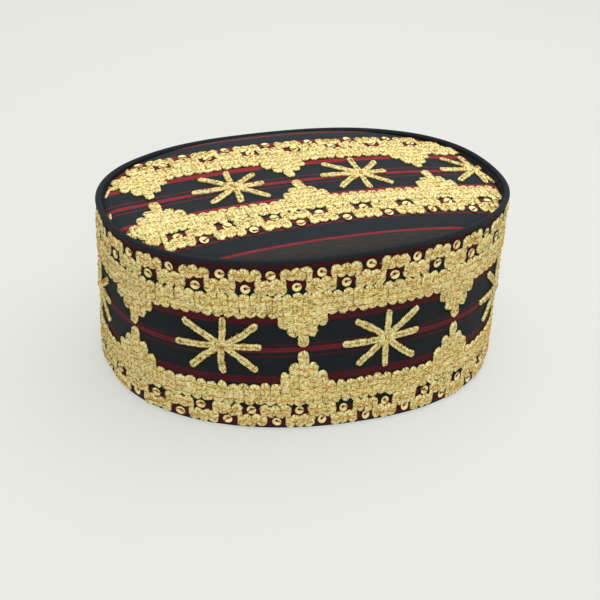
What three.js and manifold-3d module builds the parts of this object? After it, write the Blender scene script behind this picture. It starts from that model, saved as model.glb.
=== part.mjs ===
// A stiff oval cap of patterned cloth, open below. A side band carries a padded crown, a round
// piping runs along the seam between them, and borders and stars of couched gold thread stand on
// both. Millimetres, +Z up, +X along the longer way. The origin is the middle of the open rim.
import * as THREE from 'three';
import { mergeVertices } from 'three/addons/utils/BufferGeometryUtils.js';
import Module from 'manifold-3d';

const wasm = await Module();
wasm.setup();

// Overall sizes
const topLength = 214; // over the piping
const topWidth = 134; // over the piping
const baseLength = 206; // over the cloth at the open rim
const baseWidth = 159; // over the cloth at the open rim, half way along
const pipingTop = 89; // the piping's highest line above the open rim

// Cloth, piping and padding
const wallThickness = 2.4;
const crownThickness = 2.4;
const pipingDiameter = 3;
const pipingProud = 1.3; // how far the piping stands out past the side band
const seamDrop = 3; // the crown's edge below the piping's highest line, half way along
const seamTilt = 1.6; // how much higher that edge is at the back, and lower at the front
const backFullness = 1.2; // how much more the padding lifts the edge at the back
const crownRise = 6; // the middle of the crown above its own edge
const seatGap = 0.3; // between pieces that touch
const threadHeight = 1; // the gold work above its seat

// Shape of the ovals: a power of 2 is an ellipse, and more is squarer. The base is wider towards +X.
const topPower = 2.33;
const basePower = 2.25;
const baseSkew = 0.11;
const lineLean = 0.05; // radians that an upright line leans towards the nearer end at its top
const crownEndFall = 0.9; // share of the rise that is gone at the two far ends
const crownFlatness = 5.5; // how close to the seam the crown stays full

// The pattern on the side band: repeats round it, and where the first of each begins
const motifCount = 7;
const motifStart = 0.858; // in repeats from +X
const tabCount = 25;
const tabStart = 0.24; // in tabs from +X
const patternMargin = 0.7; // bare cloth above and below the pattern

// The pattern on the crown runs along X on a midline that is a little off the middle and turned
const crownRepeat = 72.5;
const crownMotifStart = -8.2; // a triangle's tip
const crownTabSpacing = 23.2;
const frontTabStart = -8.6;
const backTabStart = 2.9;
const crownPatternWidth = 83.4; // over the outer tabs of both borders
const crownMidline = 1.7; // the pattern's midline towards +Y
const crownTurn = -1.8; // degrees

// Stars of eight rays, from tip to tip. The ray that points back along the pattern is the longest.
const starLength = 37;
const starHeight = 29;
const rayWidth = 3.2;
const starShift = 2.5; // on the side band, a star's middle past half way between two tips
const crownStars = 3;
const crownStarSpacing = 68;

// The border's stepped triangles, from the tip out: reach is a share of half a repeat, and offset
// is the edge's distance from the midline as a share of the pattern's half width.
const triangleSteps = [
  { reach: 0.055, offset: 0.035 },
  { reach: 0.154, offset: 0.16 },
  { reach: 0.27, offset: 0.278 },
  { reach: 1, offset: 0.413 },
];
// The tabs on the border's far side: reach is a share of half a tab's spacing
const tabSteps = [
  { reach: 0.6, offset: 1 },
  { reach: 1, offset: 0.885 },
];
// The star's rays, as shares of its half length and half height, and the facets along each ray
const starRays = [
  { along: 0.86, up: 0, facets: 3 },
  { along: 0.75, up: 0.77, facets: 2 },
  { along: 0.03, up: 1, facets: 1 },
  { along: -0.85, up: 0.83, facets: 2 },
  { along: -1.14, up: -0.03, facets: 3 },
  { along: -0.78, up: -0.87, facets: 2 },
  { along: -0.03, up: -1, facets: 1 },
  { along: 0.75, up: -0.84, facets: 2 },
];

// Fineness of the meshes
const aroundStations = 64;
const pipingSides = 8;
const crownRings = [1, 0.96, 0.89, 0.78, 0.55]; // shares of the way from the middle to the edge
const stepRamp = 0.35; // half the width over which a step's side slopes
const flatSag = 0.12; // how far a facet may cut inside the curve that it follows

// Places that follow from the sizes
const topOval = {
  halfLength: topLength / 2 - pipingProud,
  halfWidth: topWidth / 2 - pipingProud,
  power: topPower,
  skew: 0,
};
const baseOval = {
  halfLength: baseLength / 2,
  halfWidth: baseWidth / 2,
  power: basePower,
  skew: baseSkew,
};
const wallTop = pipingTop - pipingDiameter - seatGap;
const patternMiddle = wallTop / 2;
const patternHalf = wallTop / 2 - patternMargin;
const crownEdge = -wallThickness - seatGap; // outward from the side band's face
const crownHalfLength = topOval.halfLength + crownEdge;
const crownHalfWidth = topOval.halfWidth + crownEdge;
const seamHeight = pipingTop - seamDrop;
const reliefTop = seatGap + threadHeight;

const mix = (from, to, share) => from + (to - from) * share;
const signedPower = (value, exponent) => Math.sign(value) * Math.abs(value) ** exponent;

// A point of an oval at an angle, moved outward along the oval's own normal
function ovalPoint(oval, angle, outward) {
  const u = signedPower(Math.cos(angle), 2 / oval.power);
  const v = signedPower(Math.sin(angle), 2 / oval.power);
  const widen = 1 + oval.skew * u;
  const slope = signedPower(v, oval.power - 1);
  const normal = new THREE.Vector2(
    (signedPower(u, oval.power - 1) - (slope * v * oval.skew) / widen) / oval.halfLength,
    slope / (oval.halfWidth * widen),
  );
  const point = new THREE.Vector2(oval.halfLength * u, oval.halfWidth * v * widen);
  return point.addScaledVector(normal.normalize(), outward);
}

// The top oval's angle on the upright line that starts at an angle of the base oval
const topAngle = (angle) => angle - lineLean * Math.sin(2 * angle);

// A point of the side band's face, which is straight from the base oval up to the top oval
function wallPoint(angle, height, outward) {
  const base = ovalPoint(baseOval, angle, outward);
  const point = base.lerp(ovalPoint(topOval, topAngle(angle), outward), height / wallTop);
  return new THREE.Vector3(point.x, point.y, height);
}

// The length round the side band at its middle height, summed over small steps of angle
const arcSamples = 1440;
const sampleAngle = (i) => (2 * Math.PI * i) / arcSamples;
const arcLengths = [0];
for (let i = 1; i <= arcSamples; i++) {
  const before = wallPoint(sampleAngle(i - 1), patternMiddle, 0);
  arcLengths.push(arcLengths[i - 1] + before.distanceTo(wallPoint(sampleAngle(i), patternMiddle, 0)));
}
const girth = arcLengths[arcSamples];

// The angle at a length round the side band, measured from +X
function angleAt(length) {
  const turns = Math.floor(length / girth);
  const rest = length - turns * girth;
  let i = 1;
  while (arcLengths[i] < rest) i++;
  const share = (rest - arcLengths[i - 1]) / (arcLengths[i] - arcLengths[i - 1]);
  return sampleAngle(turns * arcSamples + i - 1 + share);
}

const evenAngles = [];
for (let i = 0; i < aroundStations; i++) evenAngles.push(angleAt((i * girth) / aroundStations));

function indexedGeometry(positions, indices) {
  const geometry = new THREE.BufferGeometry();
  geometry.setAttribute('position', new THREE.Float32BufferAttribute(positions, 3));
  geometry.setIndex(indices);
  geometry.computeVertexNormals();
  return geometry;
}

// A slab over a flat mesh of corners and counter-clockwise faces. Upper and lower give the places
// of a corner on its two sides, and a wall closes every edge that only one face has.
function slab(flat, upper, lower) {
  const count = flat.corners.length;
  const points = [...flat.corners.map(upper), ...flat.corners.map(lower)];
  const faces = [];
  const edges = new Set();
  for (const [a, b, c] of flat.faces) {
    faces.push([a, b, c], [count + a, count + c, count + b]);
    for (const edge of [[a, b], [b, c], [c, a]]) edges.add(edge.join());
  }
  for (const edge of edges) {
    const [from, to] = edge.split(',').map(Number);
    if (edges.has([to, from].join())) continue;
    faces.push([count + from, count + to, to], [count + from, to, from]);
  }
  return indexedGeometry(points.flatMap((point) => point.toArray()), faces.flat());
}

// Faces between rows of corners that were listed one after another, each row to the left of the
// one before it. A closed row joins its last corner to its first.
function rowFaces(rowCount, rowLength, closed) {
  const faces = [];
  for (let row = 0; row + 1 < rowCount; row++) {
    for (let i = 0; i < (closed ? rowLength : rowLength - 1); i++) {
      const [a, b] = [row * rowLength + i, row * rowLength + ((i + 1) % rowLength)];
      faces.push([a, b, b + rowLength], [a, b + rowLength, a + rowLength]);
    }
  }
  return faces;
}

function sideBand() {
  const heights = [0, patternMiddle, wallTop];
  const corners = heights.flatMap((height) => evenAngles.map((angle) => ({ angle, height })));
  const flat = { corners, faces: rowFaces(heights.length, evenAngles.length, true) };
  return slab(
    flat,
    (corner) => wallPoint(corner.angle, corner.height, 0),
    (corner) => wallPoint(corner.angle, corner.height, -wallThickness),
  );
}

function rimPiping() {
  const radius = pipingDiameter / 2;
  const positions = [];
  for (let side = 0; side < pipingSides; side++) {
    const turn = (-2 * Math.PI * side) / pipingSides;
    const outward = pipingProud - radius + radius * Math.cos(turn);
    for (const angle of evenAngles) {
      const point = ovalPoint(topOval, topAngle(angle), outward);
      positions.push(point.x, point.y, pipingTop - radius + radius * Math.sin(-turn));
    }
  }
  const total = positions.length / 3;
  const faces = rowFaces(pipingSides + 1, evenAngles.length, true);
  return indexedGeometry(positions, faces.flat().map((index) => index % total));
}

// A point over the crown at a share of the way from its middle to its edge
function crownPoint(share, angle, lift) {
  const flat = ovalPoint(topOval, topAngle(angle), crownEdge).multiplyScalar(share);
  const fall = 1 - crownEndFall * (flat.x / crownHalfLength) ** 2;
  const across = flat.y / crownHalfWidth;
  const edgeHeight = seamHeight + seamTilt * across + backFullness * Math.max(across, 0) ** 4;
  const height = edgeHeight + crownRise * fall * (1 - share ** crownFlatness);
  return new THREE.Vector3(flat.x, flat.y, height + lift);
}

// A plate that follows the crown between two distances above it
function crownPlate(below, above) {
  const corners = crownRings.flatMap((share) => evenAngles.map((angle) => ({ share, angle })));
  const faces = rowFaces(crownRings.length, evenAngles.length, true);
  const middle = corners.push({ share: 0, angle: 0 }) - 1;
  const innermost = middle - evenAngles.length;
  evenAngles.forEach((_, i) => {
    faces.push([innermost + i, innermost + ((i + 1) % evenAngles.length), middle]);
  });
  return slab(
    { corners, faces },
    (corner) => crownPoint(corner.share, corner.angle, above),
    (corner) => crownPoint(corner.share, corner.angle, below),
  );
}

// A row of equal stepped motifs along a length: the places of its corners, and its edge's offset
function motifRow(steps, spacing, start) {
  const cornerReach = steps.slice(0, -1).map((step) => (step.reach * spacing) / 2);
  return {
    corners(from, to) {
      const places = [];
      const first = start - spacing * Math.ceil((start - from) / spacing + 1);
      for (let middle = first; middle < to + spacing; middle += spacing) {
        for (const reach of cornerReach) {
          places.push(middle - reach - stepRamp, middle - reach + stepRamp);
          places.push(middle + reach - stepRamp, middle + reach + stepRamp);
        }
      }
      return places.filter((place) => place >= from && place < to);
    },
    offset(place) {
      const away = (place - start) / spacing;
      const distance = Math.abs(away - Math.round(away)) * spacing;
      const step = cornerReach.findIndex((reach) => distance < reach + stepRamp);
      if (step < 0) return steps[steps.length - 1].offset;
      const share = (distance - cornerReach[step] + stepRamp) / (2 * stepRamp);
      return mix(steps[step].offset, steps[step + 1].offset, Math.max(share, 0));
    },
  };
}

// How far a straight facet between two places round the side band cuts inside it
function facetSag(from, to) {
  const chord = wallPoint(angleAt(from), patternMiddle, 0);
  chord.lerp(wallPoint(angleAt(to), patternMiddle, 0), 0.5);
  return chord.distanceTo(wallPoint(angleAt((from + to) / 2), patternMiddle, 0));
}

// Places round the side band in order, with more between them where a facet would sag too far
function fineStations(places) {
  const sorted = places.toSorted((a, b) => a - b);
  const kept = sorted.filter((place, i) => i === 0 || place - sorted[i - 1] > stepRamp / 4);
  return kept.flatMap((place, i) => {
    const gap = (i + 1 < kept.length ? kept[i + 1] : kept[0] + girth) - place;
    const parts = Math.ceil(Math.sqrt(facetSag(place, place + gap) / flatSag));
    return Array.from({ length: Math.max(parts, 1) }, (_, part) => place + (part * gap) / parts);
  });
}

// Gold work on the side band, over a flat mesh of lengths round it and heights
function wallRelief(flat) {
  return slab(
    flat,
    (corner) => wallPoint(angleAt(corner.x), corner.y, reliefTop),
    (corner) => wallPoint(angleAt(corner.x), corner.y, seatGap),
  );
}

// One border of gold thread round the side band. Side is 1 above the midline and -1 below it.
function wallBorder(side) {
  const triangles = motifRow(triangleSteps, girth / motifCount, (motifStart * girth) / motifCount);
  const tabs = motifRow(tabSteps, girth / tabCount, (tabStart * girth) / tabCount);
  const stations = fineStations([...triangles.corners(0, girth), ...tabs.corners(0, girth)]);
  const rows = side > 0 ? [triangles, tabs] : [tabs, triangles];
  const corners = rows.flatMap((row) =>
    stations.map((place) => new THREE.Vector2(place, patternMiddle + side * patternHalf * row.offset(place))),
  );
  return wallRelief({ corners, faces: rowFaces(rows.length, stations.length, true) });
}

// A flat star about a place: its rays in order, from the corners of its middle out to their tips
function starMesh(middle) {
  const rays = starRays.map((ray) => {
    const tip = new THREE.Vector2((ray.along * starLength) / 2, (ray.up * starHeight) / 2);
    return { tip, facets: ray.facets };
  });
  const corners = rays.map((ray, i) => {
    const next = rays[(i + 1) % rays.length].tip;
    const between = (next.angle() - ray.tip.angle() + 2 * Math.PI) % (2 * Math.PI);
    const turn = ray.tip.angle() + between / 2;
    const reach = rayWidth / 2 / Math.sin(between / 2);
    return new THREE.Vector2(reach * Math.cos(turn), reach * Math.sin(turn));
  });
  const faces = [];
  for (let i = 1; i + 1 < rays.length; i++) faces.push([0, i, i + 1]);
  rays.forEach((ray, i) => {
    let [right, left] = [(i + rays.length - 1) % rays.length, i];
    const [rightStart, leftStart] = [corners[right], corners[left]];
    const across = new THREE.Vector2(-ray.tip.y, ray.tip.x).setLength(rayWidth / 2);
    for (let facet = 1; facet <= ray.facets; facet++) {
      const share = facet / ray.facets;
      const nextRight = corners.push(rightStart.clone().lerp(ray.tip.clone().sub(across), share)) - 1;
      const nextLeft = corners.push(leftStart.clone().lerp(ray.tip.clone().add(across), share)) - 1;
      faces.push([right, nextRight, nextLeft], [right, nextLeft, left]);
      [right, left] = [nextRight, nextLeft];
    }
  });
  corners.forEach((corner) => corner.add(middle));
  return { corners, faces };
}

// A star on the side band, about half way between two tips of the borders
function wallStar(index) {
  const place = ((index + motifStart - 0.5) * girth) / motifCount + starShift;
  return wallRelief(starMesh(new THREE.Vector2(place, patternMiddle)));
}

function solidOf(geometry) {
  const plain = geometry.clone();
  plain.deleteAttribute('normal');
  const merged = mergeVertices(plain);
  return new wasm.Manifold(
    new wasm.Mesh({
      numProp: 3,
      vertProperties: new Float32Array(merged.attributes.position.array),
      triVerts: new Uint32Array(merged.index.array),
    }),
  );
}

// Gold work on the crown: a layer that lies on the crown, cut by a flat mesh in the pattern's own
// directions
const crownLayer = solidOf(crownPlate(seatGap, reliefTop));
function crownRelief(flat) {
  const turn = THREE.MathUtils.degToRad(crownTurn);
  const place = (height) => (corner) => {
    const turned = corner.clone().rotateAround(new THREE.Vector2(), turn);
    return new THREE.Vector3(turned.x, turned.y + crownMidline, height);
  };
  const cutter = slab(flat, place(pipingTop + crownRise), place(seamHeight - seamTilt - crownThickness));
  const mesh = crownLayer.intersect(solidOf(cutter)).getMesh();
  return indexedGeometry([...mesh.vertProperties], [...mesh.triVerts]);
}

// One border of gold thread along the crown. Side is 1 at the back and -1 at the front.
function crownBorder(side, tabStartPlace) {
  const end = topLength / 2;
  const triangles = motifRow(triangleSteps, crownRepeat, crownMotifStart);
  const tabs = motifRow(tabSteps, crownTabSpacing, tabStartPlace);
  const edge = (row) =>
    [-end, ...row.corners(-end, end).sort((a, b) => a - b), end].map(
      (place) => new THREE.Vector2(place, (side * row.offset(place) * crownPatternWidth) / 2),
    );
  const [right, left] = side > 0 ? [triangles, tabs] : [tabs, triangles];
  const corners = [...edge(right), ...edge(left).reverse()];
  return crownRelief({ corners, faces: THREE.ShapeUtils.triangulateShape(corners, []) });
}

// A star on the crown. The middle one of them is half way between two tips of the borders.
function crownStar(index) {
  const place = crownMotifStart + crownRepeat / 2 + (index - (crownStars - 1) / 2) * crownStarSpacing;
  return crownRelief(starMesh(new THREE.Vector2(place, 0)));
}

const songkok = new THREE.Group();

function addPiece(name, geometry, color, roughness) {
  const mesh = new THREE.Mesh(geometry, new THREE.MeshStandardMaterial({ color, roughness, metalness: 0 }));
  mesh.name = name;
  songkok.add(mesh);
}

function addGold(name, geometry) {
  addPiece(name, geometry, 0xd8c483, 0.45);
}

addPiece('side_band', sideBand(), 0x23272c, 0.85);
addPiece('crown_panel', crownPlate(-crownThickness, 0), 0x2b3036, 0.8);
addPiece('rim_piping', rimPiping(), 0x1d232c, 0.8);
addGold('wall_border_upper', wallBorder(1));
addGold('wall_border_lower', wallBorder(-1));
addGold('crown_border_back', crownBorder(1, backTabStart));
addGold('crown_border_front', crownBorder(-1, frontTabStart));
for (let i = 0; i < motifCount; i++) addGold(`wall_star_${i + 1}`, wallStar(i));
for (let i = 0; i < crownStars; i++) addGold(`crown_star_${i + 1}`, crownStar(i));

export default songkok;
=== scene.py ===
import math

import bpy
import numpy as np
from mathutils import Matrix, Vector


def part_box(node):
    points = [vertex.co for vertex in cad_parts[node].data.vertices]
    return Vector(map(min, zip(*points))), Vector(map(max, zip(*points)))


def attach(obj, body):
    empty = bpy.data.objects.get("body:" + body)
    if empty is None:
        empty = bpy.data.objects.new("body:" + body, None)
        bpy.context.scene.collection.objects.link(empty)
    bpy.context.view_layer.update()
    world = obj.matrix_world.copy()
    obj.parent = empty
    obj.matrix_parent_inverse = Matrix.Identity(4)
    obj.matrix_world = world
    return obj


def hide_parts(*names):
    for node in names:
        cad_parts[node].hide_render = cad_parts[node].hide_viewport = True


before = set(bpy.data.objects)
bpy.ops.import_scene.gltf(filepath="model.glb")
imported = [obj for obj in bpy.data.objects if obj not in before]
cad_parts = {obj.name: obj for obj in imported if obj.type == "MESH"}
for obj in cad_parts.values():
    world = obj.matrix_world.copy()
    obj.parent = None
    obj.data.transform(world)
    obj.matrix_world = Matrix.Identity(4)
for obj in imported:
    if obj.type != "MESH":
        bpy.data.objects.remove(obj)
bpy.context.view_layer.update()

MM = 0.001  # lengths below are in millimetres, and meshes are in metres
FULL_TURN = 2 * math.pi
DRAW = np.random.default_rng(20)


# Sizes that the frame gives

def box_mm(node):
    low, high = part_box(node)
    return np.array(low) / MM, np.array(high) / MM


PIPING_LOW, PIPING_HIGH = box_mm("rim_piping")
CROWN_LOW, CROWN_HIGH = box_mm("crown_panel")
TOP_HALF_LENGTH, _, WALL_TOP = box_mm("side_band")[1]
PIPING_TOP = PIPING_HIGH[2]
PIPING_RADIUS = (PIPING_HIGH[2] - PIPING_LOW[2]) / 2
PIPING_PROUD = PIPING_HIGH[0] - TOP_HALF_LENGTH
TOP_HALF_WIDTH = PIPING_HIGH[1] - PIPING_PROUD
CROWN_HALF_LENGTH = CROWN_HIGH[0]
CROWN_INSET = TOP_HALF_LENGTH - CROWN_HALF_LENGTH
CROWN_HALF_WIDTH = TOP_HALF_WIDTH - CROWN_INSET

# The shape's other numbers, the same as in the solids
BASE_HALF_LENGTH = 103.0
BASE_HALF_WIDTH = 79.5
TOP_POWER = 2.33
BASE_POWER = 2.25
BASE_SKEW = 0.11
LINE_LEAN = 0.05
WALL_THICKNESS = 2.4
CROWN_THICKNESS = 2.4
SEAM_TILT = 1.6
BACK_FULLNESS = 1.2
BACK_POWER = 4
SEAM_HEIGHT = CROWN_LOW[2] + CROWN_THICKNESS + SEAM_TILT
CROWN_RISE = 6.0
CROWN_END_FALL = 0.9
CROWN_FLATNESS = 5.5

# The crown's soft dip beside the piping, at the front and the two ends, which the solids don't have
GULLY_DEPTH = 2.0
GULLY_POWER = 40

# The pattern's gold work: edges in millimetres from the midline of each surface, above and below it.
# Near rows list the triangle's first loops from its tip, and the last entry is the plain band.
WALL_MIDDLE = WALL_TOP / 2
EDGES = {
    "band_upper": dict(
        side=1, near=(1.3, 6.6, 11.7, 17.0), far=29.6, tab_far=42.1, tab_near=35.2,
        row_far=36.9, row_near=28.7, sequins=(39.2, 32.3),
    ),
    "band_lower": dict(
        side=-1, near=(0.4, 6.5, 11.6, 17.4), far=29.7, tab_far=41.7, tab_near=34.4,
        row_far=36.4, row_near=28.7, sequins=(38.0, 32.1),
    ),
    "crown_back": dict(
        side=1, near=(3.1, 8.3, 13.2, 18.3), far=30.0, tab_far=41.4, tab_near=34.1,
        row_far=36.4, row_near=28.9, sequins=(38.9, 32.3),
    ),
    "crown_front": dict(
        side=-1, near=(0.4, 7.8, 11.7, 17.7), far=29.4, tab_far=41.5, tab_near=33.9,
        row_far=36.4, row_near=28.6, sequins=(39.3, 32.8),
    ),
}
LEGS_PER_TAB = 10  # legs of cord in an outer tab and the inner one after it
OUTER_LEGS = 6  # those of them that make the outer tab
CLOSE_LOOPS = 5  # the loops round a triangle's tip stand closer than the rest
TIP_PITCH = 0.93  # their pitch, as a share of the mean one
WALL_MOTIFS = 7
WALL_MOTIF_START = 0.858  # in repeats
WALL_LOOPS = 17  # loops of cord in one repeat of the side band
WALL_TABS = 25
WALL_TAB_START = 0.24  # in tabs
STAR_SHIFTS = ((2.2, 1.2), (1.6, 0.4), (3.0, 1.0), (2.2, 1.5), (3.4, 2.4), (0.8, 1.1), (2.4, 1.0))
CROWN_REPEAT = 72.5
CROWN_LOOPS = 15
CROWN_LOOP_RANGE = (-22, 24)  # far enough to pass the crown's seam at both ends
CROWN_MOTIF_START = -8.2
CROWN_TAB_SPACING = 23.2
CROWN_TAB_RANGE = (-5, 6)
CROWN_TAB_STARTS = {"crown_back": 2.8, "crown_front": -8.6}
CROWN_STARS = 3
CROWN_STAR_SPACING = 68.0
CROWN_STAR_OFFSET = 0.4
CROWN_MIDLINE = 1.7
CROWN_TURN = math.radians(-1.8)
SEAM_MARGIN = 0.6  # how far from the crown's seam its cords stay
STAR_MARGIN = 1.2
SEQUIN_MARGIN = 3.0
SHORTEST_LEG = 2.0  # a leg that the crown's seam leaves shorter than this is left out

# Thread and sequins
CORD_HALF_WIDTH = 1.45
CORD_HALF_HEIGHT = 0.68
CORD_LIFT = CORD_HALF_HEIGHT * 0.9  # the height of a cord's centre line over the cloth
CORD_ROUGHNESS = 0.15
CORD_END = 0.3  # a cord's thickness at its very ends, as a share
RAY_CORD_HALF_WIDTH = 0.84
RAY_CORD_END = 0.5
PATH_STEP = 0.95  # the length between two rings of a cord
HALF_CIRCLE = np.linspace(0, math.pi, 6)[1:-1]  # the rings' angles where a cord turns back
STITCH_RADIUS = 0.3
STITCH_SIDES = 5
STITCH_SHARES = np.array([-1, -0.75, -0.3, 0.3, 0.75, 1])
STITCH_RISE = np.array([0.15, 0.75, 1, 1, 0.75, 0.15])
WALL_STITCHES = (1.3, 3.6)  # a stitch's half length, and the spacing along a leg
CROWN_STITCHES = (0.95, 3.8)
STITCH_INSET = 1.6  # how far in from a leg's ends its first and last stitches lie
SEQUIN_RADIUS = 2.15
SEQUIN_SIDES = 20
SEQUIN_LIFT = 0.12
SEQUIN_STITCH_PAST = 0.35  # how far a sequin's stitch goes past its rim
SEQUIN_PAIRS = 0.55  # the share of sequins that have a stitch on both sides
SEQUIN_PROFILE = (  # radius and height, from the hole over the cup to the rim and back below it
    (0.75, 0.42), (1.1, 0.4), (1.75, 0.62), (2.2, 0.95),
    (2.17, 0.8), (1.7, 0.48), (1.1, 0.27), (0.75, 0.29),
)

# How far work by hand strays, as standard deviations
NEAR_ERROR = 0.3
FAR_ERROR = 0.25
PLACE_ERROR = 0.1
TAB_ERROR = 0.2
CORD_WOBBLE = 0.16
RAY_WOBBLE = 0.11
SWELL = 0.05
LIFT_ERROR = 0.07
STITCH_ERRORS = (0.25, 0.35)  # across a leg and along it
RAY_TIP_ERROR = 0.5
RAY_BEND = 0.4
RAY_STITCH_ERROR = 0.6
RAY_STITCH_TURN = 0.4
KNOT_ERROR = 0.7
CLOTH_RIPPLE = 0.16
PIPING_SWELL = 0.02
SEQUIN_ERROR = 0.35
SEQUIN_TILT = 0.09

# Other ways in which stitches vary
STITCH_LEAN = (0.2, 0.4)  # the mean angle from the along direction, and its standard deviation
SEQUIN_STITCH_LEAN = (0.25, 0.5)
STITCH_LENGTHS = (0.75, 1.15)  # the least and the most, as shares of the usual length


def signed_power(value, exponent):
    return np.sign(value) * np.abs(value) ** exponent


def oval(half_length, half_width, power, skew, angle, outward):
    """Points of an oval at some angles, moved outward along its normals."""
    u = signed_power(np.cos(angle), 2 / power)
    v = signed_power(np.sin(angle), 2 / power)
    widen = 1 + skew * u
    slope = signed_power(v, power - 1)
    normal_x = (signed_power(u, power - 1) - slope * v * skew / widen) / half_length
    normal_y = slope / (half_width * widen)
    size = np.hypot(normal_x, normal_y)
    x = half_length * u + outward * normal_x / size
    y = half_width * v * widen + outward * normal_y / size
    return x, y


def top_oval(angle, outward):
    leaning = angle - LINE_LEAN * np.sin(2 * angle)
    return oval(TOP_HALF_LENGTH, TOP_HALF_WIDTH, TOP_POWER, 0, leaning, outward)


def wall_at_angle(angle, height, outward):
    """Points of the side band's face at angles, heights and distances from the face."""
    base_x, base_y = oval(BASE_HALF_LENGTH, BASE_HALF_WIDTH, BASE_POWER, BASE_SKEW, angle, outward)
    top_x, top_y = top_oval(angle, outward)
    share = height / WALL_TOP
    x, y = base_x + (top_x - base_x) * share, base_y + (top_y - base_y) * share
    return np.stack([x, y, height + 0 * x], axis=-1)


ARC_STEPS = 4320
ARC_ANGLES = np.linspace(0, FULL_TURN, ARC_STEPS + 1)
ARC_POINTS = wall_at_angle(ARC_ANGLES, WALL_MIDDLE, 0.0)
ARC_LENGTHS = np.concatenate([[0], np.cumsum(np.linalg.norm(np.diff(ARC_POINTS, axis=0), axis=1))])
GIRTH = ARC_LENGTHS[-1]


def wall_surface(along, offset, lift):
    """The side band's face in the pattern's own lengths: along it, up from its midline, and outward."""
    along, offset, lift = np.broadcast_arrays(along, offset, lift)
    turns = np.floor(along / GIRTH)
    angle = np.interp(along - turns * GIRTH, ARC_LENGTHS, ARC_ANGLES)
    return wall_at_angle(angle, WALL_MIDDLE + offset, lift)


def crown_height(x, y):
    x_part, y_part = np.abs(x / CROWN_HALF_LENGTH), np.abs(y / CROWN_HALF_WIDTH)
    share = np.minimum((x_part ** TOP_POWER + y_part ** TOP_POWER) ** (1 / TOP_POWER), 1)
    fall = 1 - CROWN_END_FALL * (x / CROWN_HALF_LENGTH) ** 2
    across = y / CROWN_HALF_WIDTH
    edge_height = SEAM_HEIGHT + SEAM_TILT * across + BACK_FULLNESS * np.maximum(across, 0) ** BACK_POWER
    gully = GULLY_DEPTH * np.minimum(1 - across, 1) * share ** GULLY_POWER
    return edge_height + CROWN_RISE * fall * (1 - share ** CROWN_FLATNESS) - gully


def crown_surface(along, offset, lift):
    """The crown's face in the pattern's own lengths: along it, across from its midline, and up."""
    along, offset, lift = np.broadcast_arrays(along, offset, lift)
    x = along * math.cos(CROWN_TURN) - offset * math.sin(CROWN_TURN)
    y = along * math.sin(CROWN_TURN) + offset * math.cos(CROWN_TURN) + CROWN_MIDLINE
    return np.stack([x, y, crown_height(x, y) + lift], axis=-1)


def to_pattern(x, y):
    """Where a point of the crown lies in its pattern."""
    y = y - CROWN_MIDLINE
    along = x * math.cos(CROWN_TURN) + y * math.sin(CROWN_TURN)
    return along, -x * math.sin(CROWN_TURN) + y * math.cos(CROWN_TURN)


# Meshes

def join_parts(*parts):
    """Vectors for an attribute, from their three parts."""
    return np.stack(np.broadcast_arrays(*parts), axis=-1)


def make_piece(name, points, faces, material, attribute, values):
    """A smooth mesh of lists of points, with a vector for each point in an attribute of its own."""
    mesh = bpy.data.meshes.new(name)
    mesh.from_pydata((np.concatenate(points) * MM).tolist(), [], faces)
    mesh.validate()
    mesh.update()
    mesh.polygons.foreach_set("use_smooth", [True] * len(mesh.polygons))
    layer = mesh.attributes.new(attribute, "FLOAT_VECTOR", "POINT")
    layer.data.foreach_set("vector", np.concatenate(values).astype(np.float32).ravel())
    mesh.materials.append(material)
    piece = bpy.data.objects.new(name, mesh)
    bpy.context.scene.collection.objects.link(piece)
    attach(piece, "root")
    return piece


def grid_faces(rows, columns, closed_rows=False, closed_columns=False):
    """Quads over corners listed row by row. Closed columns join each row's last corner to its first."""
    faces = []
    for i in range(rows if closed_rows else rows - 1):
        for j in range(columns if closed_columns else columns - 1):
            a, b = i * columns + j, i * columns + (j + 1) % columns
            c, d = (i + 1) % rows * columns + (j + 1) % columns, (i + 1) % rows * columns + j
            faces.append((a, b, c, d))
    return faces


class Tubes:
    """Many cords gathered into one mesh. Each follows a path in a pattern's own lengths."""

    def __init__(self, surface):
        self.surface = surface
        self.points, self.faces, self.strand = [], [], []
        self.count = 0

    def add(self, path, lift, half_width, half_height, sides=8, rough=0.0):
        """A path of (along, offset) corners, the height of its centre line, and half sizes along it.
        Rough is the share by which single corners stand in or out."""
        size = len(path)
        lift, half_width, half_height = (
            np.broadcast_to(value, size)[:, None] for value in (lift, half_width, half_height))
        ahead = np.gradient(path, axis=0)
        ahead /= np.maximum(np.linalg.norm(ahead, axis=1, keepdims=True), 1e-9)
        across = np.stack([-ahead[:, 1], ahead[:, 0]], axis=1)
        turn = np.arange(sides) * FULL_TURN / sides
        grain = 1 + rough * DRAW.normal(0, 1, (size, sides)).clip(-2, 2)
        side = half_width * np.cos(turn) * grain
        along = path[:, :1] + across[:, :1] * side
        offset = path[:, 1:] + across[:, 1:] * side
        height = lift + half_height * np.sin(turn) * grain
        run = np.concatenate([[0], np.cumsum(np.linalg.norm(np.diff(path, axis=0), axis=1))])
        self.points.append(self.surface(along, offset, height).reshape(-1, 3))
        self.strand.append(join_parts(run[:, None], turn / FULL_TURN, DRAW.random()).reshape(-1, 3))
        first, last = self.count, self.count + (size - 1) * sides
        quads = np.array(grid_faces(size, sides, closed_columns=True)) + first
        self.faces += [tuple(quad[::-1]) for quad in quads.tolist()]
        self.faces += [tuple(range(first, first + sides)), tuple(range(last + sides - 1, last - 1, -1))]
        self.count += size * sides

    def piece(self, name, material):
        return make_piece(name, self.points, self.faces, material, "strand", self.strand)


# Paths of couched cord

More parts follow.
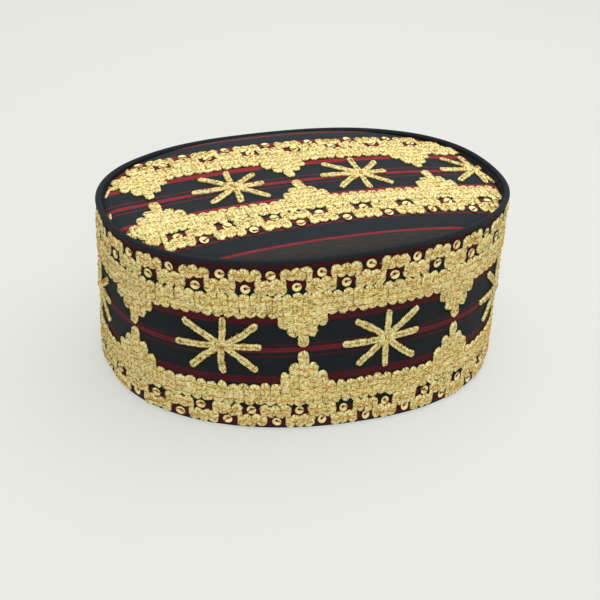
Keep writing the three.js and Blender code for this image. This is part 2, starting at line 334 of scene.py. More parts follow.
def serpentine(legs, pitch):
    """A path through legs (along, start, end): each leg runs from its start to its end, and a half
    circle joins it to the next leg."""
    radius = pitch / 2
    path = []
    for i, (along, start, end) in enumerate(legs):
        way = 1 if end > start else -1
        low, high = start + way * radius, end - way * radius
        count = max(2, int(abs(high - low) / PATH_STEP) + 1)
        for share in np.linspace(0, 1, count):
            path.append((along, low + (high - low) * share))
        if i + 1 < len(legs):
            following = legs[i + 1][0]
            middle, reach = (along + following) / 2, (following - along) / 2
            for turn in HALF_CIRCLE:
                path.append((middle - reach * math.cos(turn), high + way * radius * math.sin(turn)))
    return np.array(path)


def wobble(path, amount):
    """Small smooth errors of the hand along a path, one drawn for about every third corner."""
    size = len(path)
    coarse = DRAW.normal(0, amount, (size // 3 + 3, 2))
    places = np.linspace(0, len(coarse) - 1, size)
    error = np.stack([np.interp(places, np.arange(len(coarse)), coarse[:, k]) for k in (0, 1)], axis=1)
    return path + error


def from_tip(loop, loops_per_repeat):
    """The repeat that a loop belongs to, and its number of loops from the tip in the middle of it."""
    half = loops_per_repeat // 2
    turns, away = divmod(loop + half, loops_per_repeat)
    return turns, away - half


def loop_place(loop, start, repeat, loops_per_repeat):
    """The middle of a loop along a border."""
    turns, away = from_tip(loop, loops_per_repeat)
    close = TIP_PITCH * repeat / loops_per_repeat
    wide = (repeat - CLOSE_LOOPS * close) / (loops_per_repeat - CLOSE_LOOPS)
    near = CLOSE_LOOPS / 2
    reach = min(abs(away), near) * close + max(abs(away) - near, 0) * wide
    return start + turns * repeat + math.copysign(reach, away)


def band_legs(edges, start, repeat, first, last, loops_per_repeat):
    """The legs of a border's solid band. Loop 0 is a triangle's tip, centred on start."""
    side, near_edges = edges["side"], edges["near"]
    middles = [loop_place(loop, start, repeat, loops_per_repeat) for loop in range(first - 1, last + 1)]
    legs = []
    for i, loop in enumerate(range(first, last), 1):
        away = abs(from_tip(loop, loops_per_repeat)[1])
        edge = near_edges[min(away, len(near_edges) - 1)]
        near = side * (edge + CORD_HALF_WIDTH + DRAW.normal(0, NEAR_ERROR))
        far_a, far_b = side * (edges["far"] - CORD_HALF_WIDTH + DRAW.normal(0, FAR_ERROR, 2))
        before, after = (middles[i] - middles[i - 1]) / 4, (middles[i + 1] - middles[i]) / 4
        legs.append((middles[i] - before + DRAW.normal(0, PLACE_ERROR), far_a, near))
        legs.append((middles[i] + after + DRAW.normal(0, PLACE_ERROR), near, far_b))
    return legs


def tab_legs(edges, start, spacing, first, last):
    """The legs of a border's tabs: one cord makes the outer tabs and the inner ones between them."""
    side, pitch = edges["side"], spacing / LEGS_PER_TAB
    legs = []
    for tab in range(first, last):
        shift = DRAW.normal(0, TAB_ERROR)
        for leg in range(LEGS_PER_TAB):
            far = edges["tab_far"] if leg < OUTER_LEGS else edges["row_far"]
            near = edges["tab_near"] if 0 < leg < OUTER_LEGS - 1 else edges["row_near"]
            steps = tab * LEGS_PER_TAB + leg - (OUTER_LEGS - 1) / 2
            place = start + steps * pitch + shift + DRAW.normal(0, PLACE_ERROR)
            far_error, near_error = DRAW.normal(0, FAR_ERROR, 2)
            low = side * (near + CORD_HALF_WIDTH + near_error)
            high = side * (far - CORD_HALF_WIDTH + far_error)
            legs.append((place, low, high) if leg % 2 == 0 else (place, high, low))
    return legs


def add_cord(tubes, legs, pitch):
    """One winding cord through legs, with a swell of its own and thin ends."""
    path = wobble(serpentine(legs, pitch), CORD_WOBBLE)
    size = len(path)
    swell = 1 + DRAW.normal(0, SWELL, size)
    taper = np.ones(size)
    taper[[0, -1]] = CORD_END
    lift_spacing = 9
    knots = np.arange(0, size, lift_spacing)
    lift = CORD_LIFT + np.interp(np.arange(size), knots, DRAW.normal(0, LIFT_ERROR, len(knots)))
    half_width, half_height = CORD_HALF_WIDTH * swell * taper, CORD_HALF_HEIGHT * swell * taper
    tubes.add(path, lift, half_width, half_height, rough=CORD_ROUGHNESS)


def add_stitch(tubes, along, offset, angle, reach, top):
    """A short stitch that goes over the cord and into the cloth on both sides."""
    out = STITCH_SHARES * reach
    path = np.stack([along + out * math.cos(angle), offset + out * math.sin(angle)], axis=1)
    tubes.add(path, STITCH_RISE * top, STITCH_RADIUS, STITCH_RADIUS, sides=STITCH_SIDES)


def stitch_rows(tubes, legs, reach, spacing):
    """Stitches along each leg, the first and last a little way in from its ends."""
    across_error, along_error = STITCH_ERRORS
    for along, start, end in legs:
        length = abs(end - start)
        count = max(2, round(length / spacing))
        for i in range(count):
            share = (STITCH_INSET + (length - 2 * STITCH_INSET) * i / (count - 1)) / length
            offset = start + (end - start) * share + DRAW.normal(0, along_error)
            angle = DRAW.normal(*STITCH_LEAN)
            half = reach * DRAW.uniform(*STITCH_LENGTHS)
            place = along + DRAW.normal(0, across_error)
            add_stitch(tubes, place, offset, angle, half, 2 * CORD_HALF_HEIGHT)


# The tips of the stars' rays, from the star's middle
WALL_RAYS = (
    (17.0, 0.0), (15.2, 11.2), (0.6, 13.7), (-16.2, 11.5),
    (-22.0, -0.8), (-15.0, -12.5), (-0.5, -14.0), (15.5, -12.0),
)
CROWN_RAYS = (
    (14.6, 0.2), (13.4, 11.0), (1.0, 15.0), (-14.8, 12.3),
    (-20.8, 0.6), (-14.9, -12.2), (-1.0, -14.4), (13.0, -12.4),
)
SEAM_STAR_RAYS = (
    (5.0, -12.9), (6.6, 5.2), (-0.8, 14.4), (-13.9, 12.5),
    (-20.4, 0.6), (-15.6, -12.0), (-1.0, -13.6),
)
SHORTEST_RAY = 4
LONG_RAY = 16  # a longer one has a stitch more
RAY_STARTS = (-0.8, 1.6)  # where a ray's loop may begin, from the star's middle
RAY_CLOSENESS = 0.9  # how close the loop's two cords lie, as a share of their width
RAY_SPREADS = (0.6, 1, 1.08)  # times this at the middle, at the shortest ray's length and at the tip
RAY_STITCHED = (0.3, 0.6)  # where a ray's stitches begin, and the length they take up, as shares
RAY_STITCH_HALF = 1.35
RAY_STITCH_TOP = 2.1 * CORD_HALF_HEIGHT
KNOT_STITCHES = 4
KNOT_STITCH_HALF = 1.3
KNOT_STITCH_TOP = 3.0 * CORD_HALF_HEIGHT
KNOT_RADIUS = 3.5  # the rays' loops rise over one another within about this distance
LAYER_RISE = 0.13


def ray_path(ahead, length):
    """A narrow loop of cord from near a star's middle out to a ray's tip and back."""
    across = np.array([-ahead[1], ahead[0]])
    half = RAY_CORD_HALF_WIDTH * RAY_CLOSENESS
    out = np.linspace(DRAW.uniform(*RAY_STARTS), length - half, max(6, int(length / PATH_STEP)))
    spread = half * np.interp(out, [0, SHORTEST_RAY, length], RAY_SPREADS)
    bend = DRAW.normal(0, RAY_BEND) * np.sin(math.pi * np.clip(out / length, 0, 1))
    path = [ahead * o - across * (s - b) for o, s, b in zip(out, spread, bend)]
    for turn in HALF_CIRCLE:
        reach = length - half + half * math.sin(turn)
        path.append(ahead * reach - across * half * math.cos(turn))
    path += [ahead * o + across * (s + b) for o, s, b in zip(out[::-1], spread[::-1], bend[::-1])]
    return np.array(path)


def add_star(cords, stitches, rays, centre, holds=None):
    """Narrow loops of cord over one another, stitched across and in the middle. Where the cloth
    doesn't hold a ray's tip, the ray ends sooner."""
    stitched_from, stitched_length = RAY_STITCHED
    for level, ray in zip(DRAW.permutation(len(rays)), rays):
        tip = np.array(ray) + DRAW.normal(0, RAY_TIP_ERROR, 2)
        while holds and not holds(*(centre + tip)) and np.linalg.norm(tip) > SHORTEST_RAY:
            tip *= 0.95
        length = np.linalg.norm(tip)
        if length <= SHORTEST_RAY:
            continue
        ahead = tip / length
        path = wobble(ray_path(ahead, length) + centre, RAY_WOBBLE)
        near_middle = np.exp(-((np.linalg.norm(path - centre, axis=1) / KNOT_RADIUS) ** 2))
        lift = CORD_LIFT + near_middle * LAYER_RISE * level
        taper = 1 + DRAW.normal(0, SWELL, len(path))
        taper[[0, -1]] = RAY_CORD_END
        half_width, half_height = RAY_CORD_HALF_WIDTH * taper, CORD_HALF_HEIGHT * taper
        cords.add(path, lift, half_width, half_height, rough=CORD_ROUGHNESS)
        square = math.atan2(ahead[1], ahead[0]) + math.pi / 2
        count = 4 if length > LONG_RAY else 3
        for i in range(count):
            share = stitched_from + stitched_length * i / (count - 1)
            place = centre + ahead * (length * share + DRAW.normal(0, RAY_STITCH_ERROR))
            angle = square + DRAW.normal(0, RAY_STITCH_TURN)
            add_stitch(stitches, *place, angle, RAY_STITCH_HALF, RAY_STITCH_TOP)
    for _ in range(KNOT_STITCHES):
        place = centre + DRAW.normal(0, KNOT_ERROR, 2)
        add_stitch(stitches, *place, DRAW.uniform(0, math.pi), KNOT_STITCH_HALF, KNOT_STITCH_TOP)


def sequin_mesh(centres, surface):
    """Cupped discs with a hole in the middle, each a little tilted."""
    points, faces, strand = [], [], []
    turn = np.arange(SEQUIN_SIDES) * FULL_TURN / SEQUIN_SIDES
    rings = len(SEQUIN_PROFILE)
    disc = np.array(grid_faces(rings, SEQUIN_SIDES, closed_rows=True, closed_columns=True))
    for index, (along, offset) in enumerate(centres):
        lean, way, code = DRAW.normal(0, SEQUIN_TILT), DRAW.uniform(0, FULL_TURN), DRAW.random()
        for radius, height in SEQUIN_PROFILE:
            x, y = radius * np.cos(turn), radius * np.sin(turn)
            raised = height + SEQUIN_LIFT + lean * (x * math.cos(way) + y * math.sin(way))
            points.append(surface(along + x, offset + y, raised))
            strand.append(join_parts(radius, turn / FULL_TURN, code))
        faces += (disc + index * rings * SEQUIN_SIDES).tolist()
    return points, faces, strand


def sequin_stitches(tubes, centres):
    """From each sequin's hole over its rim into the cloth, on one side or on both."""
    reach = SEQUIN_RADIUS + SEQUIN_STITCH_PAST
    shares = np.array([0, 0.25, 0.6, 0.9, 1.0])
    rise = np.array([0.45, 0.85, 0.95, 1.15, 0.2])
    for along, offset in centres:
        angle = DRAW.normal(*SEQUIN_STITCH_LEAN)
        both = DRAW.random() < SEQUIN_PAIRS
        for way in (0, math.pi) if both else (0,):
            heading = np.array([math.cos(angle + way), math.sin(angle + way)])
            path = np.array([along, offset]) + shares[:, None] * reach * heading
            tubes.add(path, rise, STITCH_RADIUS, STITCH_RADIUS * 0.8, sides=STITCH_SIDES)


# Materials

class Graph:
    """A material's nodes, with short ways to add and to join them."""

    def __init__(self, name):
        self.material = bpy.data.materials.new(name)
        self.material.use_nodes = True
        self.nodes = self.material.node_tree.nodes
        self.links = self.material.node_tree.links
        self.shader = self.nodes["Principled BSDF"]

    def node(self, kind, **settings):
        made = self.nodes.new(kind)
        for key, value in settings.items():
            setattr(made, key, value)
        return made

    def feed(self, socket, value):
        """Gives a socket a number, a colour or another node's output."""
        if isinstance(value, (int, float)):
            socket.default_value = value
        elif isinstance(value, tuple):
            socket.default_value = (*value, 1)
        else:
            self.links.new(value, socket)

    def calc(self, operation, *inputs):
        made = self.node("ShaderNodeMath", operation=operation)
        for socket, value in zip(made.inputs, inputs):
            self.feed(socket, value)
        return made.outputs[0]

    def add_scaled(self, value, factor, other):
        return self.calc("MULTIPLY_ADD", value, factor, other)

    def wave(self, value, pitch):
        return self.calc("SINE", self.calc("MULTIPLY", value, FULL_TURN / pitch))

    def attribute(self, name):
        """A mesh attribute's vector, and the first two of its parts."""
        source = self.node("ShaderNodeAttribute", attribute_name=name)
        parts = self.node("ShaderNodeSeparateXYZ")
        self.links.new(source.outputs["Vector"], parts.inputs[0])
        return source.outputs["Vector"], parts.outputs[0], parts.outputs[1]

    def position(self):
        return self.node("ShaderNodeTexCoord").outputs["Object"]

    def noise(self, vector, scale, detail=2.0, roughness=0.5):
        made = self.node("ShaderNodeTexNoise")
        made.inputs["Scale"].default_value = scale
        made.inputs["Detail"].default_value = detail
        made.inputs["Roughness"].default_value = roughness
        self.links.new(vector, made.inputs["Vector"])
        return made.outputs["Fac"]

    def shaded(self, colour, shade):
        """A colour times a shade."""
        made = self.node("ShaderNodeMix", data_type="RGBA", blend_type="MULTIPLY")
        for name, value in (("Factor", 1.0), ("A", colour), ("B", shade)):
            self.feed(next(s for s in made.inputs if s.name == name and s.enabled), value)
        return next(s for s in made.outputs if s.enabled)

    def ramp(self, factor, stops, interpolation="LINEAR"):
        made = self.node("ShaderNodeValToRGB")
        made.color_ramp.interpolation = interpolation
        elements = made.color_ramp.elements
        while len(elements) > 1:
            elements.remove(elements[-1])
        elements[0].position, elements[0].color = stops[0][0], (*stops[0][1], 1)
        for position, colour in stops[1:]:
            elements.new(position).color = (*colour, 1)
        self.links.new(factor, made.inputs[0])
        return made.outputs[0]

    def bump(self, height, distance, strength, below=None):
        made = self.node("ShaderNodeBump")
        made.inputs["Distance"].default_value = distance
        made.inputs["Strength"].default_value = strength
        self.links.new(height, made.inputs["Height"])
        if below is not None:
            self.links.new(below, made.inputs["Normal"])
        return made.outputs[0]


STRIPE_SPAN = 80.0  # the stripes' ramp covers this distance on both sides of the midline
PLAIN_OFFSET = -60.0  # an offset beyond the side band's stripes, for its plain inner face
WEAVE_PITCH = 0.62
RIB_PITCH = 0.75
TWIST_PITCH = 0.9
RAGGEDNESS = 0.7  # how far a stripe's edge wanders


def cloth_material(name, stripes):
    """Striped cloth. Its attribute place holds the lengths along and across the stripes, and a stripe
    is the offset where it starts and its colour."""
    graph = Graph(name)
    place, along, offset = graph.attribute("place")
    ragged = graph.noise(place, 1.6, 2.0, 0.7)
    shifted = graph.add_scaled(ragged, RAGGEDNESS, graph.calc("SUBTRACT", offset, RAGGEDNESS / 2))
    share = graph.add_scaled(shifted, 0.5 / STRIPE_SPAN, 0.5)
    stops = [(0.5 + 0.5 * edge / STRIPE_SPAN, tone) for edge, tone in stripes]
    colour = graph.ramp(share, stops, "CONSTANT")
    weave = graph.calc("MULTIPLY", graph.wave(along, WEAVE_PITCH), graph.wave(offset, WEAVE_PITCH))
    drawn = graph.node("ShaderNodeVectorMath", operation="MULTIPLY")
    graph.links.new(place, drawn.inputs[0])
    drawn.inputs[1].default_value = (0.09, 1.5, 1)
    yarns = graph.noise(drawn.outputs[0], 1.0, 3.0, 0.7)
    fibres = graph.noise(place, 1.6, 3.0, 0.7)
    mottle = graph.add_scaled(yarns, 1.5, graph.calc("ADD", fibres, -0.25))
    shade = graph.add_scaled(weave, 0.16, mottle)
    graph.links.new(graph.shaded(colour, shade), graph.shader.inputs["Base Color"])
    graph.shader.inputs["Roughness"].default_value = 0.75
    graph.shader.inputs["Specular IOR Level"].default_value = 0.12
    graph.shader.inputs["Sheen Weight"].default_value = 0.03
    graph.shader.inputs["Sheen Roughness"].default_value = 0.4
    soft = graph.bump(graph.noise(place, 0.12, 2.0), 0.6 * MM, 0.5)
    graph.links.new(graph.bump(weave, 0.12 * MM, 0.8, soft), graph.shader.inputs["Normal"])
    return graph.material


def piping_material():
    """Ribbed cloth. Its attribute place holds the length along the piping and the turn round it."""
    graph = Graph("piping_cloth")
    place, along, around = graph.attribute("place")
    winding = graph.calc("MULTIPLY", along, FULL_TURN / RIB_PITCH)
    rib = graph.calc("SINE", graph.calc("ADD", winding, around))
    cross = graph.calc("SINE", graph.calc("MULTIPLY", around, 14.0))
    weave = graph.calc("MULTIPLY", rib, cross)
    fibres = graph.noise(place, 1.4, 3.0, 0.7)
    shade = graph.add_scaled(weave, 0.2, graph.calc("ADD", fibres, 0.45))
    colour = graph.shaded((0.0085, 0.012, 0.015), shade)
    graph.links.new(colour, graph.shader.inputs["Base Color"])
    graph.shader.inputs["Roughness"].default_value = 0.7
    graph.shader.inputs["Specular IOR Level"].default_value = 0.12
    graph.shader.inputs["Sheen Weight"].default_value = 0.03
    graph.links.new(graph.bump(weave, 0.1 * MM, 0.8), graph.shader.inputs["Normal"])
    return graph.material


def gold_material():
    """Twisted metal-wrapped thread. Its attribute strand holds the length along it and the turn
    round it."""
    graph = Graph("gold_thread")
    _, along, around = graph.attribute("strand")
    winding = graph.calc("MULTIPLY", along, FULL_TURN / TWIST_PITCH)
    twist = graph.calc("SINE", graph.add_scaled(around, 2 * FULL_TURN, winding))
    position = graph.position()
    grain = graph.noise(position, 950, 2.0, 0.7)
    fine = graph.noise(position, 2200, 1.0, 0.6)
    patch = graph.noise(position, 240, 2.0, 0.6)
    # Painted light: high values of the tone give painted glints of the metal foil, and low values give
    # painted shade in the gaps between its windings. The twist term paints slanted highlights along the
    # turns. Noise places these at random over the thread's own patchy tone
    tone = graph.add_scaled(grain, 0.75, graph.calc("MULTIPLY", patch, 0.3))
    tone = graph.add_scaled(fine, 0.3, tone)
    tone = graph.add_scaled(twist, 0.05, tone)
    stops = [(0.50, (0.12, 0.085, 0.015)), (0.605, (0.60, 0.485, 0.15)), (0.82, (0.93, 0.86, 0.43))]
    graph.links.new(graph.ramp(tone, stops), graph.shader.inputs["Base Color"])
    graph.shader.inputs["Metallic"].default_value = 0.25
    graph.shader.inputs["Roughness"].default_value = 0.5
    height = graph.add_scaled(grain, 1.5, graph.calc("MULTIPLY", twist, 0.45))
    graph.links.new(graph.bump(height, 0.3 * MM, 0.85), graph.shader.inputs["Normal"])
    return graph.material


def patchy_material(name, scale, dark, light, metallic, roughness, specular):
    """A plain surface whose colour varies in patches."""
    graph = Graph(name)
    patch = graph.noise(graph.position(), scale, 1.0)
    colour = graph.ramp(patch, [(0.3, dark), (0.7, light)])
    graph.links.new(colour, graph.shader.inputs["Base Color"])
    graph.shader.inputs["Metallic"].default_value = metallic
    graph.shader.inputs["Roughness"].default_value = roughness
    graph.shader.inputs["Specular IOR Level"].default_value = specular
    return graph.material


WALL_BLACK = (0.0085, 0.0105, 0.0125)
WALL_RED = (0.115, 0.009, 0.013)
WALL_DARK_RED = (0.060, 0.006, 0.009)
WALL_STRIPES = (
    (-STRIPE_SPAN, WALL_BLACK), (-41.4, WALL_DARK_RED), (-31.9, WALL_BLACK),
    (-17.7, WALL_DARK_RED), (-13.8, WALL_BLACK), (-3.8, WALL_DARK_RED), (-3.2, WALL_BLACK),
    (-1.5, WALL_RED), (0.8, WALL_BLACK), (2.3, WALL_DARK_RED), (2.9, WALL_BLACK),
    (13.7, WALL_DARK_RED), (17.6, WALL_BLACK), (31.6, WALL_DARK_RED), (38.8, WALL_BLACK),
    (41.2, WALL_DARK_RED), (42.9, WALL_BLACK),
)
# Painted sheen: the warm grey of the crown's front strip beside the piping is the dark cloth drawn
# lighter where it curves toward the light
CROWN_PAINTED_SHEEN_GREY = (0.029, 0.027, 0.025)
# The crown's black and reds are lighter than the side band's: in part painted top light and sheen,
# since the crown faces the overhead light
CROWN_BLACK = (0.0128, 0.017, 0.0205)
CROWN_RED = (0.225, 0.017, 0.0215)
CROWN_DARK_RED = (0.145, 0.0125, 0.017)
CROWN_STRIPES = (
    (-STRIPE_SPAN, CROWN_PAINTED_SHEEN_GREY), (-53.2, CROWN_RED), (-52.2, CROWN_BLACK),
    (-42.3, CROWN_DARK_RED), (-41.0, CROWN_BLACK), (-38.6, CROWN_DARK_RED), (-30.5, CROWN_BLACK),
    (-17.6, CROWN_RED), (-15.1, CROWN_BLACK), (-4.7, CROWN_DARK_RED), (-3.9, CROWN_BLACK),
    (-1.7, CROWN_RED), (1.1, CROWN_BLACK), (3.2, CROWN_DARK_RED), (3.9, CROWN_BLACK),
    (15.0, CROWN_RED), (18.6, CROWN_BLACK), (30.4, CROWN_DARK_RED), (43.0, CROWN_BLACK),
    (53.4, CROWN_RED), (55.4, CROWN_BLACK),
)
WALL_CLOTH = cloth_material("band_cloth", WALL_STRIPES)
CROWN_CLOTH = cloth_material("crown_cloth", CROWN_STRIPES)
PIPING = piping_material()
GOLD = gold_material()
STITCH = patchy_material(
    "stitch_thread", 420, dark=(0.30, 0.11, 0.008), light=(0.66, 0.34, 0.035),
    metallic=0.0, roughness=0.6, specular=0.3)
SEQUIN_STITCH = patchy_material(
    "sequin_stitch_thread", 420, dark=(0.16, 0.045, 0.012), light=(0.46, 0.18, 0.03),
    metallic=0.0, roughness=0.6, specular=0.3)
SEQUIN = patchy_material(
    "sequin_metal", 300, dark=(0.68, 0.53, 0.19), light=(0.90, 0.79, 0.39),
    metallic=0.2, roughness=0.55, specular=0.35)


# Pieces

def side_band():
    """The cloth wall, with a rounded fold at its lower edge and its upper edge turned in under the
    piping."""
    around = 420
    along = np.arange(around) * GIRTH / around
    # The section's corners are heights and distances outward: from the outer face round the hem,
    # up the inner face, over the tucked edge and down the outer face
    fold = WALL_THICKNESS / 2
    turns = np.linspace(0, math.pi, 7)
    hem = [(fold - fold * math.sin(turn), -fold + fold * math.cos(turn)) for turn in turns]
    hem_height = 4.0
    inner = [(height, -WALL_THICKNESS) for height in np.linspace(hem_height, WALL_TOP, 12)]
    lip = WALL_TOP + 0.9
    tucked = [(lip, -WALL_THICKNESS * 0.6), (lip, -WALL_THICKNESS * 0.3)]
    outer = [(height, 0.0) for height in np.linspace(WALL_TOP, hem_height, 26)]
    section = hem + inner + tucked + outer
    waves = DRAW.normal(0, CLOTH_RIPPLE, 28)
    ripple = np.interp(along, np.linspace(0, GIRTH, len(waves) + 1), np.append(waves, waves[0]))
    woven = (along - GIRTH / 4) % GIRTH  # the cloth's own seam is at the middle of the back
    points, place = [], []
    for i, (height, outward) in enumerate(section):
        swell = ripple * math.sin(math.pi * height / WALL_TOP) if outward > -0.01 else 0
        points.append(wall_surface(along, height - WALL_MIDDLE, outward + swell))
        inside = len(hem) <= i <= len(hem) + len(inner)
        place.append(join_parts(woven, PLAIN_OFFSET if inside else height - WALL_MIDDLE, 0.0))
    faces = grid_faces(len(section), around, closed_rows=True, closed_columns=True)
    piece = make_piece("band_wall", points, faces, WALL_CLOTH, "place", place)
    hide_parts("side_band")


def crown():
    """The padded crown, fine near its seam, where it turns down beside the piping."""
    around = 360
    angle = np.arange(around) * FULL_TURN / around
    # Each row of the section is a share of the way out to the seam, a distance outward and a lift
    shares = np.concatenate([np.linspace(0.04, 0.8, 20), np.linspace(0.83, 1, 18)])
    section = [(share, 0.0, 0.0) for share in shares]
    section += [(1, 0.6, -0.5), (1, 0.9, -1.2), (1, 0.1, -CROWN_THICKNESS)]
    section += [(share, 0.0, -CROWN_THICKNESS) for share in shares[-2::-1]]
    points, place = [], []
    for share, outward, lift in section:
        x, y = (share * value for value in top_oval(angle, outward - CROWN_INSET))
        points.append(join_parts(x, y, crown_height(x, y) + lift))
        place.append(join_parts(*to_pattern(x, y), 0.0))
    faces = [face[::-1] for face in grid_faces(len(points), around, closed_columns=True)]
    last = (len(points) - 1) * around
    faces += [tuple(range(around)), tuple(range(last + around - 1, last - 1, -1))]
    piece = make_piece("crown_pad", points, faces, CROWN_CLOTH, "place", place)
    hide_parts("crown_panel")


def piping():
    """The cord on the seam, a little uneven."""
    around, sides, swell_spacing = 480, 16, 12
    along = np.arange(around) * GIRTH / around
    angle = np.interp(along, ARC_LENGTHS, ARC_ANGLES)
    knots = np.arange(0, around + swell_spacing, swell_spacing)
    swell = 1 + np.interp(np.arange(around), knots, DRAW.normal(0, PIPING_SWELL, len(knots)))
    points, place = [], []
    for turn in np.arange(sides) * FULL_TURN / sides:
        x, y = top_oval(angle, PIPING_PROUD - PIPING_RADIUS + PIPING_RADIUS * swell * math.cos(turn))
        height = PIPING_TOP - PIPING_RADIUS + PIPING_RADIUS * swell * math.sin(turn)
        points.append(join_parts(x, y, height))
        place.append(join_parts(along, turn, 0.0))
    faces = grid_faces(sides, around, closed_rows=True, closed_columns=True)
    piece = make_piece("piping_cord", points, faces, PIPING, "place", place)
    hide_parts("rim_piping")


def finish_thread(cords, stitches, name, *replaced):
    piece = cords.piece(f"{name}_cord", GOLD)
    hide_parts(*replaced)
    stitches.piece(f"{name}_stitches", STITCH)


def wall_borders():
    repeat, spacing = GIRTH / WALL_MOTIFS, GIRTH / WALL_TABS
    loops = WALL_MOTIFS * WALL_LOOPS
    for name in ("upper", "lower"):
        edges = EDGES[f"band_{name}"]
        cords, stitches = Tubes(wall_surface), Tubes(wall_surface)
        band = band_legs(edges, WALL_MOTIF_START * repeat, repeat, 0, loops, WALL_LOOPS)
        tabs = tab_legs(edges, WALL_TAB_START * spacing, spacing, 0, WALL_TABS)
        for legs, pitch in ((band, repeat / WALL_LOOPS / 2), (tabs, spacing / LEGS_PER_TAB)):
            add_cord(cords, legs, pitch)
            stitch_rows(stitches, legs, *WALL_STITCHES)
        finish_thread(cords, stitches, f"band_border_{name}", f"wall_border_{name}")


def inside_crown(along, offset, margin):
    point = crown_surface(along, offset, 0.0)
    x = point[..., 0] / (CROWN_HALF_LENGTH - margin)
    y = point[..., 1] / (CROWN_HALF_WIDTH - margin)
    return np.abs(x) ** TOP_POWER + np.abs(y) ** TOP_POWER < 1


def clip_legs(legs):
    """Legs cut off where they would cross the crown's seam. Legs that lie outside it are left out."""
    kept = []
    samples = 60
    for along, start, end in legs:
        places = np.linspace(start, end, samples)
        inside = places[inside_crown(along, places, SEAM_MARGIN)]
        if len(inside) and abs(inside[-1] - inside[0]) > SHORTEST_LEG:
            kept.append((along, inside[0], inside[-1]))
    return kept


def split_runs(legs, pitch):
    """Stretches of legs that follow one another without a gap."""
    runs = [[legs[0]]]
    widest_step = 1.6 * pitch
    for leg in legs[1:]:
        if leg[0] - runs[-1][-1][0] > widest_step:
            runs.append([])
        runs[-1].append(leg)
    return runs


def crown_borders():
    band_pitch, tab_pitch = CROWN_REPEAT / CROWN_LOOPS / 2, CROWN_TAB_SPACING / LEGS_PER_TAB
    for name in ("crown_back", "crown_front"):
        edges = EDGES[name]
        cords, stitches = Tubes(crown_surface), Tubes(crown_surface)
        band = band_legs(edges, CROWN_MOTIF_START, CROWN_REPEAT, *CROWN_LOOP_RANGE, CROWN_LOOPS)
        tabs = tab_legs(edges, CROWN_TAB_STARTS[name], CROWN_TAB_SPACING, *CROWN_TAB_RANGE)
        for legs, pitch in ((band, band_pitch), (tabs, tab_pitch)):
            for run in split_runs(clip_legs(legs), pitch):
                if len(run) > 1:
                    add_cord(cords, run, pitch)
                    stitch_rows(stitches, run, *CROWN_STITCHES)
        border = name.replace("crown_", "crown_border_")
        finish_thread(cords, stitches, border, border)


def stars():
    for i, shift in enumerate(STAR_SHIFTS):
        cords, stitches = Tubes(wall_surface), Tubes(wall_surface)
        place = (i + WALL_MOTIF_START - 0.5) * GIRTH / WALL_MOTIFS
        add_star(cords, stitches, WALL_RAYS, np.array([place, 0.0]) + shift)
        finish_thread(cords, stitches, f"band_star_{i + 1}", f"wall_star_{i + 1}")
    for i in range(CROWN_STARS):
        cords, stitches = Tubes(crown_surface), Tubes(crown_surface)
        place = CROWN_MOTIF_START + CROWN_REPEAT / 2 + (i - 1) * CROWN_STAR_SPACING
        rays = SEAM_STAR_RAYS if i == CROWN_STARS - 1 else CROWN_RAYS
        add_star(cords, stitches, rays, np.array([place, CROWN_STAR_OFFSET]),
                 lambda along, offset: inside_crown(along, offset, STAR_MARGIN))
        finish_thread(cords, stitches, f"crown_star_{i + 1}", f"crown_star_{i + 1}")


SEAM_ENDS = (((-102.1, -6.3), (-102.1, -1.8)), ((-100.1, 13.4), (-96.6, 20.4)))


def seam_ends():
    """Short ends of cord that show beside the seam at the crown's far left."""
    cords = Tubes(crown_surface)
    taper = np.array([0.4, 0.9, 1, 1, 1, 0.9, 0.4])
    half_width, half_height = RAY_CORD_HALF_WIDTH * taper, CORD_HALF_HEIGHT * taper
    for start, end in SEAM_ENDS:
        path = wobble(np.linspace(start, end, len(taper)), 0.1)
        cords.add(path, CORD_HALF_HEIGHT, half_width, half_height, rough=0.12)
    cords.piece("crown_seam_ends", GOLD)


def sequin_places(edges, start, spacing, first, last):
    """The middles of the sequins: one between two outer tabs, and one in each outer tab's window."""
    outer, inner = (edges["side"] * offset for offset in edges["sequins"])
    places = []
    for tab in range(first, last):
        places += [(start + (tab + 0.5) * spacing, outer), (start + tab * spacing, inner)]
    return [tuple(np.array(place) + DRAW.normal(0, SEQUIN_ERROR, 2)) for place in places]


def sequins():
    spacing = GIRTH / WALL_TABS
    wall, flat = [], []
    for name in ("band_upper", "band_lower"):
        wall += sequin_places(EDGES[name], WALL_TAB_START * spacing, spacing, 0, WALL_TABS)
    for name, start in CROWN_TAB_STARTS.items():
        flat += sequin_places(EDGES[name], start, CROWN_TAB_SPACING, *CROWN_TAB_RANGE)
    flat = [centre for centre in flat if inside_crown(*centre, SEQUIN_MARGIN)]
    for name, centres, surface in (("band", wall, wall_surface), ("crown", flat, crown_surface)):
        points, faces, strand = sequin_mesh(centres, surface)
        discs = make_piece(f"{name}_sequins", points, faces, SEQUIN, "strand", strand)
        tubes = Tubes(surface)
        sequin_stitches(tubes, centres)
        tubes.piece(f"{name}_sequin_stitches", SEQUIN_STITCH)


side_band()
crown()
piping()
wall_borders()
crown_borders()
stars()
seam_ends()
sequins()


# Studio: lengths in metres

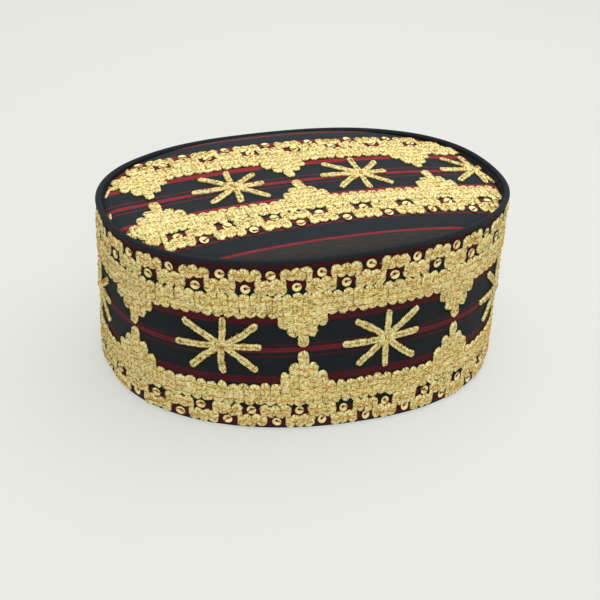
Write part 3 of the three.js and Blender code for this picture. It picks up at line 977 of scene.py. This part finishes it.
def stage():
    graph = Graph("floor_paper")
    graph.shader.inputs["Base Color"].default_value = (0.20, 0.202, 0.19, 1)
    graph.shader.inputs["Roughness"].default_value = 0.9
    graph.shader.inputs["Emission Color"].default_value = (0.985, 1, 0.945, 1)
    graph.shader.inputs["Emission Strength"].default_value = 0.5
    mesh = bpy.data.meshes.new("floor")
    half = 4.0
    corners = [(-half, -half, 0), (half, -half, 0), (half, half, 0), (-half, half, 0)]
    mesh.from_pydata(corners, [], [(0, 1, 2, 3)])
    mesh.materials.append(graph.material)
    floor = bpy.data.objects.new("floor", mesh)
    bpy.context.scene.collection.objects.link(floor)
    world = bpy.data.worlds.new("studio")
    bpy.context.scene.world = world
    world.use_nodes = True
    background = world.node_tree.nodes["Background"]
    background.inputs["Color"].default_value = (1, 1, 1, 1)
    background.inputs["Strength"].default_value = 0.60


def area_light(name, place, target, size, power):
    light = bpy.data.lights.new(name, "AREA")
    light.shape = "SQUARE"
    light.size = size
    light.energy = power
    lamp = bpy.data.objects.new(name, light)
    lamp.location = place
    lamp.rotation_euler = (Vector(target) - Vector(place)).to_track_quat("-Z", "Y").to_euler()
    bpy.context.scene.collection.objects.link(lamp)


def lights():
    area_light("overhead_light", (0.22, 0.12, 1.1), target=(0, 0, 0.05), size=1.2, power=13.8)
    area_light("front_light", (-0.6, -1.15, 0.9), target=(0, 0, 0.04), size=1.1, power=8.7)


# The camera that fits the photo: its distance is in millimetres
AZIMUTH = math.radians(-26.5)
ELEVATION = math.radians(30.8)
ROLL = math.radians(5.55)
DISTANCE = 575.7
FOCAL_PIXELS = 1105.0
TARGET_PIXEL = (303.1, 262.1)
FRAME_PIXELS = 600.0
SENSOR = 36.0


def camera():
    data = bpy.data.cameras.new("camera")
    data.sensor_width = SENSOR
    data.lens = FOCAL_PIXELS * SENSOR / FRAME_PIXELS
    data.shift_x = (FRAME_PIXELS / 2 - TARGET_PIXEL[0]) / FRAME_PIXELS
    data.shift_y = (TARGET_PIXEL[1] - FRAME_PIXELS / 2) / FRAME_PIXELS
    data.clip_start, data.clip_end = 0.01, 50
    level = math.cos(ELEVATION)
    back = Vector((math.sin(AZIMUTH) * level, -math.cos(AZIMUTH) * level, math.sin(ELEVATION)))
    right = Vector((0, 0, 1)).cross(back).normalized()
    up = back.cross(right)
    rolled_right = right * math.cos(ROLL) + up * math.sin(ROLL)
    rolled_up = up * math.cos(ROLL) - right * math.sin(ROLL)
    target = Vector((0, 0, PIPING_TOP / 2))
    matrix = Matrix((rolled_right, rolled_up, back)).transposed().to_4x4()
    matrix.translation = (target + back * DISTANCE) * MM
    eye = bpy.data.objects.new("camera", data)
    eye.matrix_world = matrix
    bpy.context.scene.collection.objects.link(eye)
    bpy.context.scene.camera = eye


stage()
lights()
camera()
bpy.context.scene.view_settings.view_transform = "Standard"
